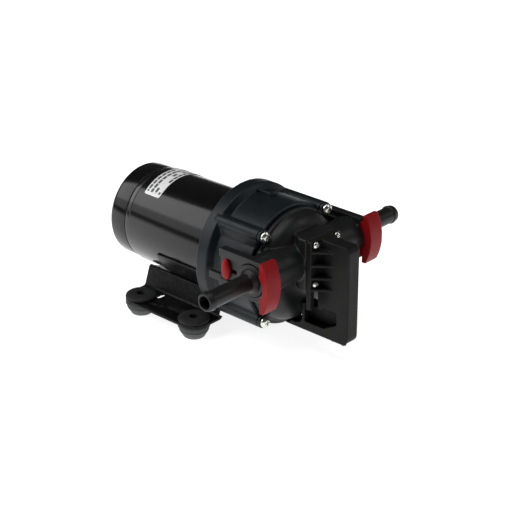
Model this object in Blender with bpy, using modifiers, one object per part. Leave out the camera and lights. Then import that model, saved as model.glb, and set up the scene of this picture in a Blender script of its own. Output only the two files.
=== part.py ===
"""Twelve-volt diaphragm bilge pump: motor, wobble drive, five-chamber head, pressure switch and base.

Lengths in the tables below are millimetres. The pump axis runs along X, with the motor at the back
(-X) and the pump head at the front (+X). Heights z are measured from the pump axis, which lies
AXIS_HEIGHT above the surface that the four feet stand on.
"""

import math

import bmesh
import bpy

MM = 0.001
MERGE = 1e-6
GAP = 0.3

# Driving dimensions
AXIS_HEIGHT = 61.6
CAN_RADIUS = 38.0
CAN_WALL = 2.0
CAN_REAR = -86.0
CAN_FRONT = 0.6
BELL_RADIUS = 37.0
BELL_REAR = -108.0
RING_RADIUS = 52.0
BODY_RADIUS = 46.5
BODY_BORE = 42.2
BODY_FRONT = 47.0
SCREW_SQUARE = 33.5
BOSS_RADIUS = 5.3
BOSS_FRONT = 48.8
DOME_RADIUS = 41.5
DOME_FRONT = 62.5
PORT_X = 60.0
PORT_Z = 10.5
PORT_TUBE_RADIUS = 14.5
PORT_TUBE_END = 50.0
PORT_BLOCK_X = (29.2, 71.0)
PORT_BLOCK_Z = (-5.5, 26.0)
PORT_FACE = 56.25
SPIGOT_BORE = 10.0
COLLAR_BORE = 12.3
FITTING_END = 102.8
CLIP_MID = 52.0
CLIP_PLATE = 3.0
CLIP_SLOT = 3.6
CLIP_X = (33.5, 75.2)
CLIP_Z = (-3.4, 24.0)
CLIP_TRAVEL = 7.0
CLIP_TAB_X = 73.4
CLIP_TAB_MID = 56.2
BUTTON_X = 35.4
WOBBLE_X = 21.5
WOBBLE_TILT = 3.5
DIAPHRAGM_REAR = 30.3
SWITCH_FRONT = 106.0
SWITCH_HALF = 5.8
FLANGE_REAR = 75.3
FLANGE_FRONT = 79.7
SENSE_Z = 5.0
GLAND_X = (89.2, 98.4)
PLATE_TOP = -48.6
PLATE_SHEET = 1.8
FEET_X = (-66.0, -9.0)
FEET_Y = 45.0

COLOURS = {
    "gloss_black": ((0.012, 0.012, 0.013, 1), 0.18, 0.0),
    "housing_blue": ((0.030, 0.042, 0.055, 1), 0.42, 0.0),
    "head_black": ((0.020, 0.020, 0.021, 1), 0.38, 0.0),
    "bracket_black": ((0.018, 0.018, 0.018, 1), 0.50, 0.0),
    "rubber": ((0.030, 0.031, 0.032, 1), 0.80, 0.0),
    "clip_red": ((0.62, 0.022, 0.035, 1), 0.35, 0.0),
    "steel": ((0.62, 0.62, 0.60, 1), 0.28, 1.0),
    "copper": ((0.72, 0.32, 0.18, 1), 0.35, 1.0),
    "ferrite": ((0.06, 0.06, 0.065, 1), 0.60, 0.0),
    "carbon": ((0.04, 0.04, 0.04, 1), 0.70, 0.0),
    "aluminium": ((0.70, 0.71, 0.72, 1), 0.40, 1.0),
    "label_white": ((0.75, 0.75, 0.74, 1), 0.45, 0.0),
    "nylon_white": ((0.70, 0.69, 0.65, 1), 0.50, 0.0),
}


# ---------------------------------------------------------------------------------- building kit


def clear_scene():
    for item in list(bpy.data.objects):
        bpy.data.objects.remove(item, do_unlink=True)


def new_collection(name):
    group = bpy.data.collections.new(name)
    bpy.context.scene.collection.children.link(group)
    return group


def material(name):
    found = bpy.data.materials.get(name)
    if found:
        return found
    colour, roughness, metallic = COLOURS[name]
    made = bpy.data.materials.new(name)
    made.use_nodes = True
    shader = made.node_tree.nodes["Principled BSDF"]
    shader.inputs["Base Color"].default_value = colour
    shader.inputs["Roughness"].default_value = roughness
    shader.inputs["Metallic"].default_value = metallic
    made.diffuse_color = colour
    return made


class Kit:
    """The collections and the empty that every piece hangs from."""

    def __init__(self):
        self.parts = new_collection("bilge_pump")
        self.cutters = new_collection("cutters")
        self.axis = bpy.data.objects.new("pump_axis", None)
        self.parts.objects.link(self.axis)
        self.axis.location = (0, 0, AXIS_HEIGHT * MM)

    def add(self, name, mesh, finish, at, turn):
        """A visible part when it has a finish, and otherwise a hidden shape for a Boolean."""
        made = bpy.data.objects.new(name, mesh)
        made.parent = self.axis
        made.location = [v * MM for v in at]
        made.rotation_euler = [math.radians(v) for v in turn]
        if finish:
            self.parts.objects.link(made)
            mesh.materials.append(material(finish))
        else:
            self.cutters.objects.link(made)
            made.hide_render = True
            made.display_type = "WIRE"
        return made


KIT = None
ALONG_X = (0, 90, 0)
ALONG_PLUS_Y = (-90, 0, 0)
ALONG_MINUS_Y = (90, 0, 0)
PLANE_XZ = (90, 0, 0)
PLANE_YZ = (90, 0, 90)
UPRIGHT = (0, 0, 0)


def box(name, x, y, z, finish=None):
    """A block given by its two limits along each axis."""
    mesh = bpy.data.meshes.new(name)
    work = bmesh.new()
    bmesh.ops.create_cube(work, size=1.0)
    size = [(b - a) * MM for a, b in (x, y, z)]
    bmesh.ops.scale(work, vec=size, verts=work.verts)
    work.to_mesh(mesh)
    work.free()
    centre = [(a + b) / 2 for a, b in (x, y, z)]
    return KIT.add(name, mesh, finish, centre, UPRIGHT)


def rod(name, radius, length, at, turn, finish=None, sides=24, tip_radius=None):
    """A cylinder or cone whose middle is at the given point."""
    mesh = bpy.data.meshes.new(name)
    work = bmesh.new()
    tip = radius if tip_radius is None else tip_radius
    bmesh.ops.create_cone(work, cap_ends=True, segments=sides, radius1=radius * MM,
                          radius2=tip * MM, depth=length * MM)
    work.to_mesh(mesh)
    work.free()
    mesh.shade_smooth()
    mesh.set_sharp_from_angle(angle=math.radians(35))
    return KIT.add(name, mesh, finish, at, turn)


def turned(name, profile, finish=None, at=(0, 0, 0), turn=ALONG_X, steps=48):
    """A profile of (along, radius) pairs, outer side first and front to back, spun a full turn.

    A profile that starts and ends on the axis is a solid of revolution. Any other is a closed ring.
    """
    ring = profile[0][1] > 0
    mesh = bpy.data.meshes.new(name)
    points = [(radius * MM, 0, along * MM) for along, radius in profile]
    count = len(points)
    edges = [(i, (i + 1) % count) for i in range(count if ring else count - 1)]
    mesh.from_pydata(points, edges, [])
    made = KIT.add(name, mesh, finish, at, turn)
    spin = made.modifiers.new("spin", "SCREW")
    spin.axis = "Z"
    spin.angle = math.tau
    spin.steps = steps
    spin.render_steps = steps
    spin.use_merge_vertices = True
    spin.merge_threshold = MERGE
    spin.use_smooth_shade = True
    return made


def flat(name, loops, thickness, finish=None, at=(0, 0, 0), turn=PLANE_XZ):
    """A flat outline, with any further loops as holes, given a thickness about its plane."""
    curve = bpy.data.curves.new(name, "CURVE")
    curve.dimensions = "2D"
    curve.fill_mode = "BOTH"
    curve.extrude = thickness * MM / 2
    for loop in loops:
        spline = curve.splines.new("POLY")
        spline.points.add(len(loop) - 1)
        for point, (u, v) in zip(spline.points, loop):
            point.co = (u * MM, v * MM, 0, 1)
        spline.use_cyclic_u = True
    return KIT.add(name, solid_from(curve, name), finish, at, turn)


def solid_from(curve, name):
    """A curve's own solid, with its loose caps welded on."""
    guide = bpy.data.objects.new(name + "_outline", curve)
    bpy.context.scene.collection.objects.link(guide)
    bpy.context.view_layer.update()
    seen = guide.evaluated_get(bpy.context.evaluated_depsgraph_get())
    mesh = bpy.data.meshes.new_from_object(seen)
    bpy.data.objects.remove(guide, do_unlink=True)
    bpy.data.curves.remove(curve)
    mesh.materials.clear()
    work = bmesh.new()
    work.from_mesh(mesh)
    bmesh.ops.remove_doubles(work, verts=work.verts, dist=MERGE)
    bmesh.ops.recalc_face_normals(work, faces=work.faces)
    work.to_mesh(mesh)
    work.free()
    mesh.name = name
    return mesh


def wire(name, points, radius, finish, at=(0, 0, 0)):
    """A round wire through the given points."""
    curve = bpy.data.curves.new(name, "CURVE")
    curve.dimensions = "3D"
    curve.bevel_depth = radius * MM
    curve.bevel_resolution = 1
    curve.use_fill_caps = True
    spline = curve.splines.new("POLY")
    spline.points.add(len(points) - 1)
    for point, place in zip(spline.points, points):
        point.co = [v * MM for v in place] + [1]
    return KIT.add(name, solid_from(curve, name), finish, at, UPRIGHT)


def boolean(target, other, operation):
    step = target.modifiers.new(other.name, "BOOLEAN")
    step.operation = operation
    step.object = other
    return target


def cut(target, *others):
    for other in others:
        boolean(target, other, "DIFFERENCE")
    return target


def join(target, *others):
    for other in others:
        boolean(target, other, "UNION")
    return target


def weld(target):
    """Close the hair-thin edges that a Boolean can leave."""
    step = target.modifiers.new("weld", "WELD")
    step.merge_threshold = 10 * MERGE
    return target


def arc(centre, radius, start, end, count):
    """Points on an arc, in degrees, both ends included."""
    step = (end - start) / (count - 1)
    turns = [math.radians(start + step * i) for i in range(count)]
    return [(centre[0] + radius * math.cos(t), centre[1] + radius * math.sin(t)) for t in turns]


def polar(radius, angle):
    turn = math.radians(angle)
    return (radius * math.cos(turn), radius * math.sin(turn))


def circle(centre, radius, count=24):
    return arc(centre, radius, 0, 360 * (count - 1) / count, count)


def rounded(x, z, radius, count=4):
    """A rectangle outline with rounded corners."""
    (x0, x1), (z0, z1) = x, z
    corners = [(x1, z1, 0), (x0, z1, 90), (x0, z0, 180), (x1, z0, 270)]
    points = []
    for cx, cz, start in corners:
        inner = (cx - radius if cx == x1 else cx + radius, cz - radius if cz == z1 else cz + radius)
        points += arc(inner, radius, start, start + 90, count)
    return points


def sector(inner, outer, start, end, count):
    """A ring sector outline between two angles."""
    return arc((0, 0), outer, start, end, count) + arc((0, 0), inner, end, start, count)


def square_corners(half):
    return [(half, half), (-half, half), (-half, -half), (half, -half)]


# ---------------------------------------------------------------------------------------- motor


def motor_shell():
    inner = CAN_RADIUS - CAN_WALL
    turned("motor_can", [(CAN_FRONT, CAN_RADIUS), (CAN_REAR + 0.6, CAN_RADIUS),
                         (CAN_REAR, CAN_RADIUS - 0.6), (CAN_REAR, inner), (CAN_FRONT, inner)],
           "gloss_black", steps=32)
    round_off = 3.5
    corner = arc((BELL_REAR + round_off, BELL_RADIUS - round_off), round_off, 90, 180, 3)
    bell = [(-90.8, BELL_RADIUS)] + corner + [
        (BELL_REAR, 5.0), (-102.6, 5.0), (-102.6, 11.5), (-94.0, 11.5), (-94.0, 14.0),
        (-105.5, 15.0), (-105.5, 31.4), (-103.9, 33.0), (-82.0, 33.0), (-82.0, 35.1),
        (-90.8, 35.1)]
    turned("motor_end_bell", bell, "gloss_black", steps=24)
    turned("end_bell_seal", [(-86.4, 37.0), (-90.4, 37.0), (-90.4, 35.6), (-86.4, 35.6)],
           "rubber", steps=24)


def rating_label():
    """A thin sleeve sector over the top of the can, measured as angles from +Y in the YZ plane."""
    outline = sector(CAN_RADIUS + GAP, CAN_RADIUS + 0.6, 20, 133, 15)
    flat("rating_label", [outline], 16.0, "label_white", (-71.0, 0, 0), PLANE_YZ)


def magnets():
    for name, middle in (("magnet_far", 0), ("magnet_near", 180)):
        outline = sector(31.2, 35.5, middle - 62, middle + 62, 12)
        flat(name, [outline], 56.0, "ferrite", (-42.0, 0, 0), PLANE_YZ)


def bearings():
    """Two sealed ball bearings, 8 mm bore and 22 mm outside, that carry the shaft."""
    half = 3.5
    profile = [(half, 10.4), (half - 0.6, 11.0), (-half + 0.6, 11.0), (-half, 10.4),
               (-half, 4.4), (half, 4.4)]
    turned("rear_bearing", profile, "steel", (-98.5, 0, 0), steps=14)
    turned("front_bearing", profile, "steel", (-1.2, 0, 0), steps=14)


def motor_front_plate():
    """The plate in the mouth of the can that seats the front bearing."""
    plate = turned("motor_front_plate", [
        (0.3, 35.4), (-5.5, 35.4), (-5.5, 13.0), (-6.8, 13.0), (-6.8, 8.5), (-5.0, 8.5),
        (-5.0, 11.6), (0.3, 11.6)], "aluminium", steps=20)
    for index, side in enumerate((-1, 1)):
        place = (-2.6, side * 22.0, 0)
        cut(plate, rod(f"front_plate_hole_{index}", 2.1, 8.0, place, ALONG_X, sides=10))
        turned(f"motor_screw_{index + 1}", pan_screw(3.4, 2.2, 1.7, 9.0), "steel",
               (6.3, side * 22.0, 0), steps=10)


def pan_screw(head_radius, head_height, shank_radius, length):
    """A pan-head screw's profile, with the underside of the head at zero."""
    return [(head_height, 0), (head_height, head_radius * 0.6), (head_height * 0.6, head_radius),
            (0, head_radius), (0, shank_radius), (-length, shank_radius), (-length, 0)]


def rotor():
    """The shaft and everything that turns with it."""
    turned("motor_shaft", [(29.4, 0), (29.4, 3.4), (28.8, 4.0), (-102.0, 4.0), (-102.4, 3.6),
                           (-102.4, 0)], "steel", steps=16)
    slots = 8
    core = armature_outline(slots, 0.0)
    flat("armature_core", [core, circle((0, 0), 4.4, 16)], 40.0, "steel",
         (-44.0, 0, 0), PLANE_YZ)
    winding = turned("armature_winding", [
        (-16.0, 26.8), (-72.0, 26.8), (-72.0, 10.0), (-16.0, 10.0)], "copper", steps=16)
    swept_core = flat("winding_core_space", [armature_outline(slots, GAP)], 40.6, None,
                      (-44.0, 0, 0), PLANE_YZ)
    cut(winding, swept_core)
    pitch = 360 / slots
    outline = []
    for index in range(slots):
        start = pitch * index
        outline += arc((0, 0), 11.0, start + 3, start + pitch - 3, 3)
        outline += arc((0, 0), 9.6, start + pitch - 3, start + pitch + 3, 2)
    flat("commutator", [outline, circle((0, 0), 4.4, 16)], 11.0, "copper", (-80.0, 0, 0),
         PLANE_YZ)
    wobble_hub()


def armature_outline(slots, grow):
    """Toothed lamination outline. A positive grow makes it larger all round."""
    points = []
    for index in range(slots):
        middle = 360 / slots * index
        tip = math.degrees((9.4 + grow) / 30.0)
        neck = math.degrees((3.4 + grow) / 26.5)
        root = math.degrees((3.4 + grow) / 14.5)
        points.append(polar(14.5 + grow, middle - root))
        points.append(polar(26.5 - grow, middle - neck))
        points.append(polar(27.6 - grow, middle - tip))
        points += arc((0, 0), 30.0 + grow, middle - tip, middle + tip, 3)
        points.append(polar(27.6 - grow, middle + tip))
        points.append(polar(26.5 - grow, middle + neck))
        points.append(polar(14.5 + grow, middle + root))
    return points


def wobble_hub():
    """The angled hub on the shaft's front end, and the bearing that it carries."""
    turn = (0, 90 + WOBBLE_TILT, 0)
    centre = (WOBBLE_X, 0, 0)
    hub = turned("wobble_hub", [(4.5, 0), (4.5, 5.9), (-4.0, 5.9), (-4.0, 8.5), (-9.5, 8.5),
                                (-9.5, 0)], "steel", centre, turn, steps=20)
    cut(hub, rod("hub_bore", 4.4, 40, (20, 0, 0), ALONG_X, sides=16))
    half = 3.5
    turned("wobble_bearing", [(half, 11.0), (-half, 11.0), (-half, 6.3), (half, 6.3)], "steel",
           centre, turn, steps=20)


def brushes():
    holder = turned("brush_holder", [(-86.6, 32.8), (-89.4, 32.8), (-89.4, 13.0), (-86.6, 13.0)],
                    "nylon_white", steps=24)
    for name, side in (("upper", 1), ("lower", -1)):
        low, high = sorted((side * 13.6, side * 31.0))
        guide = box(f"brush_guide_{name}", (-87.0, -75.0), (-4.6, 4.6), (low, high))
        join(holder, guide)
        low, high = sorted((side * 12.0, side * 29.5))
        cut(holder, box(f"brush_channel_{name}", (-84.3, -76.7), (-2.9, 2.9), (low, high)))
        low, high = sorted((side * 11.3, side * 21.0))
        box(f"brush_{name}", (-84.0, -77.0), (-2.6, 2.6), (low, high), "carbon")


# --------------------------------------------------------------------------------- drive housing


def drive_housing():
    """The blue-grey casting between the motor and the head."""
    housing = turned("drive_housing", [
        (BODY_FRONT, 0), (BODY_FRONT, BODY_RADIUS), (14.2, BODY_RADIUS), (11.0, RING_RADIUS),
        (0.9, RING_RADIUS), (0.9, 0)], "housing_blue", steps=32)
    corners = square_corners(SCREW_SQUARE)
    for index, (y, z) in enumerate(corners):
        middle = (BOSS_FRONT + 8) / 2
        join(housing, rod(f"screw_boss_{index}", BOSS_RADIUS, BOSS_FRONT - 8, (middle, y, z),
                          ALONG_X, sides=12))
    for name, side in (("near", -1), ("far", 1)):
        flank = tuple(sorted((side * SCREW_SQUARE, side * 38.6)))
        join(housing, box(f"{name}_boss_flank", (12, BOSS_FRONT - 0.2), flank, (24.0, 30.4)))
    rib = [(12.8, 0.6), (26.4, 0.6), (26.4, 8.0), (24.6, 8.0), (24.6, 2.4), (12.8, 2.4)]
    join(housing, flat("top_hook_rib", [rib], 6.0, None, (0, 0, 45.1), UPRIGHT))
    cut(housing, rod("housing_bore", BODY_BORE, 30, (DIAPHRAGM_REAR - 0.3 + 15, 0, 0), ALONG_X,
                     sides=32))
    cut(housing, rod("flange_room", 43.9, 14, (BODY_FRONT + 0.05 + 7, 0, 0), ALONG_X, sides=32))
    cut(housing, rod("wobble_room", 39.4, 34, (6 + 17, 0, 0), ALONG_X, sides=32))
    cut(housing, rod("bearing_clearance", 12.0, 12, (4, 0, 0), ALONG_X, sides=14))
    for index, (y, z) in enumerate(corners):
        cut(housing, rod(f"boss_pilot_{index}", 2.3, 26, (40, y, z), ALONG_X, sides=8))
    for index, side in enumerate((-1, 1)):
        cut(housing, rod(f"bulkhead_hole_{index}", 2.1, 12, (4, side * 22.0, 0), ALONG_X,
                         sides=10))


def head_screws():
    for index, (y, z) in enumerate(square_corners(SCREW_SQUARE)):
        screw = turned(f"head_screw_{index + 1}", pan_screw(4.5, 3.0, 1.95, 22.0), "steel",
                       (51.9, y, z), steps=12)
        cross_recess(screw, (54.9, y, z), 1.0, 5.0, 1.4)


def cross_recess(screw, at, width, length, depth):
    """A cross recess cut into the face of a screw that points along +X."""
    x, y, z = at
    for index, (dy, dz) in enumerate(((length, width), (width, length))):
        slot = box(f"{screw.name}_recess_{index}", (x - depth, x + 1), (y - dy / 2, y + dy / 2),
                   (z - dz / 2, z + dz / 2))
        cut(screw, slot)


# ------------------------------------------------------------------------------- wobble and valves


def chamber_places(radius):
    """Centres of the five pumping chambers on a circle."""
    return [(radius * math.sin(math.radians(72 * i)), radius * math.cos(math.radians(72 * i)))
            for i in range(5)]


def wobble_stack():
    plate = turned("wobble_plate", [(26.6, 30.0), (24.0, 30.0), (24.0, 15.0), (17.4, 15.0),
                                    (17.4, 12.0), (26.6, 12.0)], "nylon_white", steps=20)
    places = chamber_places(24.0)
    for index, (y, z) in enumerate(places):
        join(plate, rod(f"wobble_foot_{index}", 4.5, 4.0, (27.9, y, z), ALONG_X, sides=6))
    rear = DIAPHRAGM_REAR
    diaphragm = turned("diaphragm", [(rear + 2.6, 0), (rear + 2.6, 41.7), (rear, 41.7),
                                     (rear, 0)], "rubber", steps=24)
    for index, (y, z) in enumerate(places):
        join(diaphragm, rod(f"diaphragm_cup_{index}", 7.5, 3.4, (rear + 3.2, y, z), ALONG_X,
                            sides=10, tip_radius=6.5))


def valve_plate():
    plate = turned("valve_plate", [(40.6, 0), (40.6, 41.7), (33.3, 41.7), (33.3, 39.4),
                                   (37.4, 39.4), (37.4, 0)], "nylon_white", steps=24)
    for index, (y, z) in enumerate(chamber_places(28.0)):
        cut(plate, rod(f"valve_stem_hole_{index}", 1.9, 8, (39, y, z), ALONG_X, sides=6))
        for side in (-1, 1):
            offset = polar(4.0, 72 * index + 90 + 90 * side)
            hole = (39, y + offset[1], z + offset[0])
            cut(plate, rod(f"inlet_hole_{index}_{side}", 1.3, 8, hole, ALONG_X, sides=5))
        turned(f"inlet_valve_{index + 1}", mushroom(6.3, 1.4, 1.0), "rubber", (37.1, y, z),
               steps=12)
    cut(plate, rod("outlet_stem_hole", 1.9, 8, (39, 0, 0), ALONG_X, sides=6))
    for index, (y, z) in enumerate(chamber_places(8.0)):
        cut(plate, rod(f"outlet_hole_{index}", 1.6, 8, (39, y, z), ALONG_X, sides=5))
    turned("outlet_valve", [(42.2, 0), (42.2, 6.0), (41.6, 11.5), (40.9, 11.5), (40.9, 1.4),
                            (37.0, 1.4), (37.0, 0)], "rubber", steps=16)
    turned("head_seal", [(41.7, 41.2), (40.9, 41.2), (40.9, 39.4), (41.7, 39.4)], "rubber",
           steps=24)


def mushroom(radius, stem, height):
    """A rubber check valve: a thin cap on the back of the plate and a stem through it."""
    return [(3.8, 0), (3.8, stem), (0.0, stem), (0.0, radius), (-0.6, radius), (-height, 0)]


# ------------------------------------------------------------------------------------ pump head


def pump_head():
    """The black moulding: flange, dome, cross tubes, port blocks, and the pad for the switch."""
    round_off = 9.0
    crown = arc((DOME_FRONT - round_off, DOME_RADIUS - round_off), round_off, 0, 90, 4)
    head = turned("pump_head", [(DOME_FRONT, 0)] + crown + [
        (50.6, DOME_RADIUS), (50.6, 43.6), (47.3, 43.6), (47.3, 41.7), (42.0, 41.7), (42.0, 0)],
        "head_black", steps=32)
    for index, (y, z) in enumerate(square_corners(SCREW_SQUARE)):
        join(head, rod(f"ear_{index}", BOSS_RADIUS, 2.4, (50.3, y, z), ALONG_X, sides=12))
        cut(head, rod(f"ear_hole_{index}", 2.3, 5, (50.3, y, z), ALONG_X, sides=8))
    tube = rod("cross_tube", PORT_TUBE_RADIUS, 2 * PORT_TUBE_END, (PORT_X, 0, PORT_Z),
               ALONG_PLUS_Y, sides=22)
    cut(tube, box("housing_rim_room", (40, 47.6), (-46.8, 46.8), (-20, 40)))
    join(head, tube, box("switch_pad", (55, FLANGE_REAR - GAP), (-16, 16), (-8, 31.8)))
    for name, side in (("near", -1), ("far", 1)):
        port_block(head, name, side)
    head_chambers(head)


def across(side, a, b):
    """Two distances from the middle plane, as limits along Y on the given side."""
    return tuple(sorted((side * a, side * b)))


def port_block(head, name, side):
    """A back wall and a hooded front that guide the slide clip across the tube."""
    slot_in = CLIP_MID - CLIP_SLOT / 2
    slot_out = CLIP_MID + CLIP_SLOT / 2
    bottom = PORT_BLOCK_Z[0]
    wall = box(f"{name}_back_wall", PORT_BLOCK_X, across(side, 47.2, slot_in), (bottom, 22.0))
    hood = box(f"{name}_hood", PORT_BLOCK_X, across(side, slot_in - 0.2, PORT_FACE), PORT_BLOCK_Z)
    tongue = box(f"{name}_tongue", (17.5, 30.0), across(side, 51.5, 55.0), (-1.0, 4.6))
    join(head, wall, hood, tongue)
    slot = box(f"{name}_clip_slot", (CLIP_X[0] - GAP, 80), across(side, slot_in, slot_out),
               (CLIP_Z[0] - GAP, CLIP_Z[1] + GAP))
    recess = box(f"{name}_button_recess", (28, PORT_X - 9), across(side, PORT_FACE - 1.7, 58),
                 (2.7, 19.8))
    slit = box(f"{name}_button_slit", (BUTTON_X - 1.4, BUTTON_X + CLIP_TRAVEL + 1.8),
               across(side, CLIP_MID, 58), (PORT_Z - 1.4, PORT_Z + 1.4))
    bore = rod(f"{name}_spigot_bore", SPIGOT_BORE, 32, (PORT_X, side * 46, PORT_Z), ALONG_PLUS_Y,
               sides=16)
    collar = rod(f"{name}_collar_bore", COLLAR_BORE, 8, (PORT_X, side * 56.5, PORT_Z),
                 ALONG_PLUS_Y, sides=20)
    cut(head, slot, recess, slit, bore, collar)


def head_chambers(head):
    """Inlet gallery around the outside, outlet chamber in the middle, and their passages."""
    gallery = turned("inlet_gallery", [(57.0, 38.0), (40.0, 38.0), (40.0, 18.0), (57.0, 18.0)],
                     steps=24)
    cut(gallery, box("outlet_bridge", (30, 65), (-1.3, 60), (0.7, 20.4)))
    cut(head, gallery)
    cut(head, rod("outlet_chamber", 14.5, 17, (48.5, 0, 0), ALONG_X, sides=14))
    cut(head, rod("inlet_passage", 6.5, 16, (PORT_X, -29, PORT_Z), ALONG_PLUS_Y, sides=12))
    cut(head, rod("outlet_passage", 6.5, 32, (PORT_X, 21, PORT_Z), ALONG_PLUS_Y, sides=12))
    cut(head, rod("sensing_pocket", 9.5, 4, (FLANGE_REAR - 0.5, 0, SENSE_Z), ALONG_X, sides=16))
    cut(head, rod("sensing_hole", 1.5, 20, (65.0, 0, SENSE_Z), ALONG_X, sides=6))
    weld(head)


# --------------------------------------------------------------------------------- hose fittings


def fitting_profile():
    """A straight hose tail: distances run outward from the pump's middle plane."""
    seat = 9.6
    groove = 8.0
    barrel = 6.4
    water_bore = 4.8
    return [
        (FITTING_END, 6.3), (FITTING_END - 5.0, 7.3), (FITTING_END - 5.6, barrel),
        (61.6, barrel), (58.5, 9.0), (57.2, 9.0), (57.2, COLLAR_BORE - 0.4),
        (54.2, COLLAR_BORE - 0.4), (54.2, groove), (49.8, groove), (49.8, seat), (42.4, seat),
        (42.4, 7.6), (38.8, 7.6), (38.8, seat), (33.0, seat), (33.0, water_bore),
        (FITTING_END, water_bore)]


def ports():
    for name, side, turn in (("inlet", -1, ALONG_MINUS_Y), ("outlet", 1, ALONG_PLUS_Y)):
        centre = (PORT_X, 0, PORT_Z)
        turned(f"{name}_fitting", fitting_profile(), "head_black", centre, turn, steps=16)
        turned(f"{name}_o_ring", [(42.0, 9.6), (39.2, 9.6), (39.2, 8.0), (42.0, 8.0)],
               "rubber", centre, turn, steps=14)
        slide_clip(name, side)


def slide_clip(name, side):
    """Keyhole plate, curved finger tab in front and oval button behind, moulded in one."""
    release = (PORT_X - CLIP_TRAVEL, PORT_Z)
    wide, narrow = 10.4, 8.4
    throat = math.degrees(math.asin(narrow / wide))
    keyhole = arc(release, wide, throat, 360 - throat, 14)
    keyhole += arc((PORT_X, PORT_Z), narrow, -90, 90, 8)
    clip = flat(f"{name}_clip", [rounded(CLIP_X, CLIP_Z, 1.0, 2), keyhole], CLIP_PLATE,
                "clip_red", (0, side * CLIP_MID, 0), PLANE_XZ)
    front = arc((PORT_X - 17.6, PORT_Z), 39.3, -28.9, 28.9, 8)
    notch = arc((PORT_X + 3.6, PORT_Z), 12.6, 44, -44, 6)
    tab = front + [(CLIP_TAB_X, PORT_Z + 19.0), (CLIP_TAB_X, PORT_Z + 11.5)] + notch + [
        (CLIP_TAB_X, PORT_Z - 11.5), (CLIP_TAB_X, PORT_Z - 19.0)]
    neck = box(f"{name}_button_neck", (BUTTON_X - 1.1, BUTTON_X + 1.5),
               across(side, CLIP_MID, PORT_FACE), (PORT_Z - 1.1, PORT_Z + 1.1))
    oval = [(BUTTON_X + 3.9 * u, PORT_Z + 0.8 + 8.2 * v) for u, v in circle((0, 0), 1.0, 14)]
    cut(clip, box(f"{name}_button_gap", (BUTTON_X + 2.0, PORT_X - 15), across(side, 50, 54),
                  (PORT_Z - 1.9, PORT_Z + 1.9)))
    join(clip, neck,
         flat(f"{name}_tab", [tab], 13.6, None, (0, side * CLIP_TAB_MID, 0), PLANE_XZ),
         flat(f"{name}_button", [oval], 3.6, None, (0, side * 56.7, 0), PLANE_XZ))


# --------------------------------------------------------------------------------- pressure switch


def switch_outline(inset):
    """Side view of the thin switch box. The inset shrinks it for the cavity."""
    front, top, foot = SWITCH_FRONT - inset, 31.0 - inset, -46.0 + inset
    corner = 6 - inset
    points = arc((front - 4, top - 4), 4, 90, 0, 3)
    points += arc((front - corner, foot + corner), corner, 0, -90, 4)
    if inset:
        return points + [(FLANGE_FRONT + 2.4, foot), (FLANGE_FRONT + 2.4, top)]
    return points + [(47.4, foot), (47.4, -44.1), (51.9, -44.1), (51.9, -42.0), (57.0, -42.0),
                     (61.0, -41.0), (63.0, -38.0),
                     (63.0, -24.0), (FLANGE_FRONT - 2, -24.0), (FLANGE_FRONT - 2, top)]


def switch_housing():
    body = flat("switch_housing", [switch_outline(0)], 2 * SWITCH_HALF, "head_black")
    flange_z = (-8.0, 31.8)
    flange = flat("switch_flange", [rounded((-16, 16), flange_z, 2.0, 3)], FLANGE_FRONT - FLANGE_REAR,
                  None, ((FLANGE_REAR + FLANGE_FRONT) / 2, 0, 0), PLANE_YZ)
    join(body, flange)
    for name, side in (("near", -1), ("far", 1)):
        join(body, box(f"{name}_switch_skirt", (FLANGE_REAR + 0.1, FLANGE_FRONT - 0.1),
                       across(side, 11.5, 15.8), (-22, -6)))
    for index, z in enumerate((23.5, 13.2, 3.3, -5.7)):
        gusset = [(FLANGE_FRONT - 1, -15.6), (FLANGE_FRONT - 1, 15.6), (FLANGE_FRONT + 0.4, 15.6),
                  (92.0, 5.6), (92.0, -5.6), (FLANGE_FRONT + 0.4, -15.6)]
        join(body, flat(f"gusset_{index}", [gusset], 1.8, None, (0, 0, z), UPRIGHT))
    cut(body, flat("switch_cavity", [switch_outline(1.8)], 2 * SWITCH_HALF, None, (0, 1.8, 0)))
    join(body, box("recess_backing", (81.5, 97.6), (-4.4, 4.0), (-41.0, -20.0)))
    recess = [(65.5, -24.5), (81.5, -24.5), (84.0, -22.0), (95.6, -22.0), (95.6, -32.0),
              (83.6, -38.6), (65.5, -38.6)]
    cut(body, flat("near_face_recess", [recess], 9.0, None, (0, -2.3, 0)))
    cut(body, rod("plunger_pocket", 7.2, 4, (FLANGE_REAR + 0.1, 0, SENSE_Z), ALONG_X, sides=16))
    cut(body, rod("spring_bore", 4.2, 7, (77.9, 0, SENSE_Z), ALONG_X, sides=14))
    cut(body, rod("stem_hole", 2.3, 8, (80.5, 0, SENSE_Z), ALONG_X, sides=10))
    for index, (y, z) in enumerate(switch_screw_places()):
        cut(body, rod(f"switch_screw_hole_{index}", 1.9, 10, (77.5, y, z), ALONG_X, sides=8))
    for index, x in enumerate(GLAND_X):
        cut(body, rod(f"gland_hole_{index}", 2.0, 6, (x, 0, -45), UPRIGHT, sides=10))


def switch_screw_places():
    return [(y, z) for z in (28.6, -1.8) for y in (-11.5, 11.5)]


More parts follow.
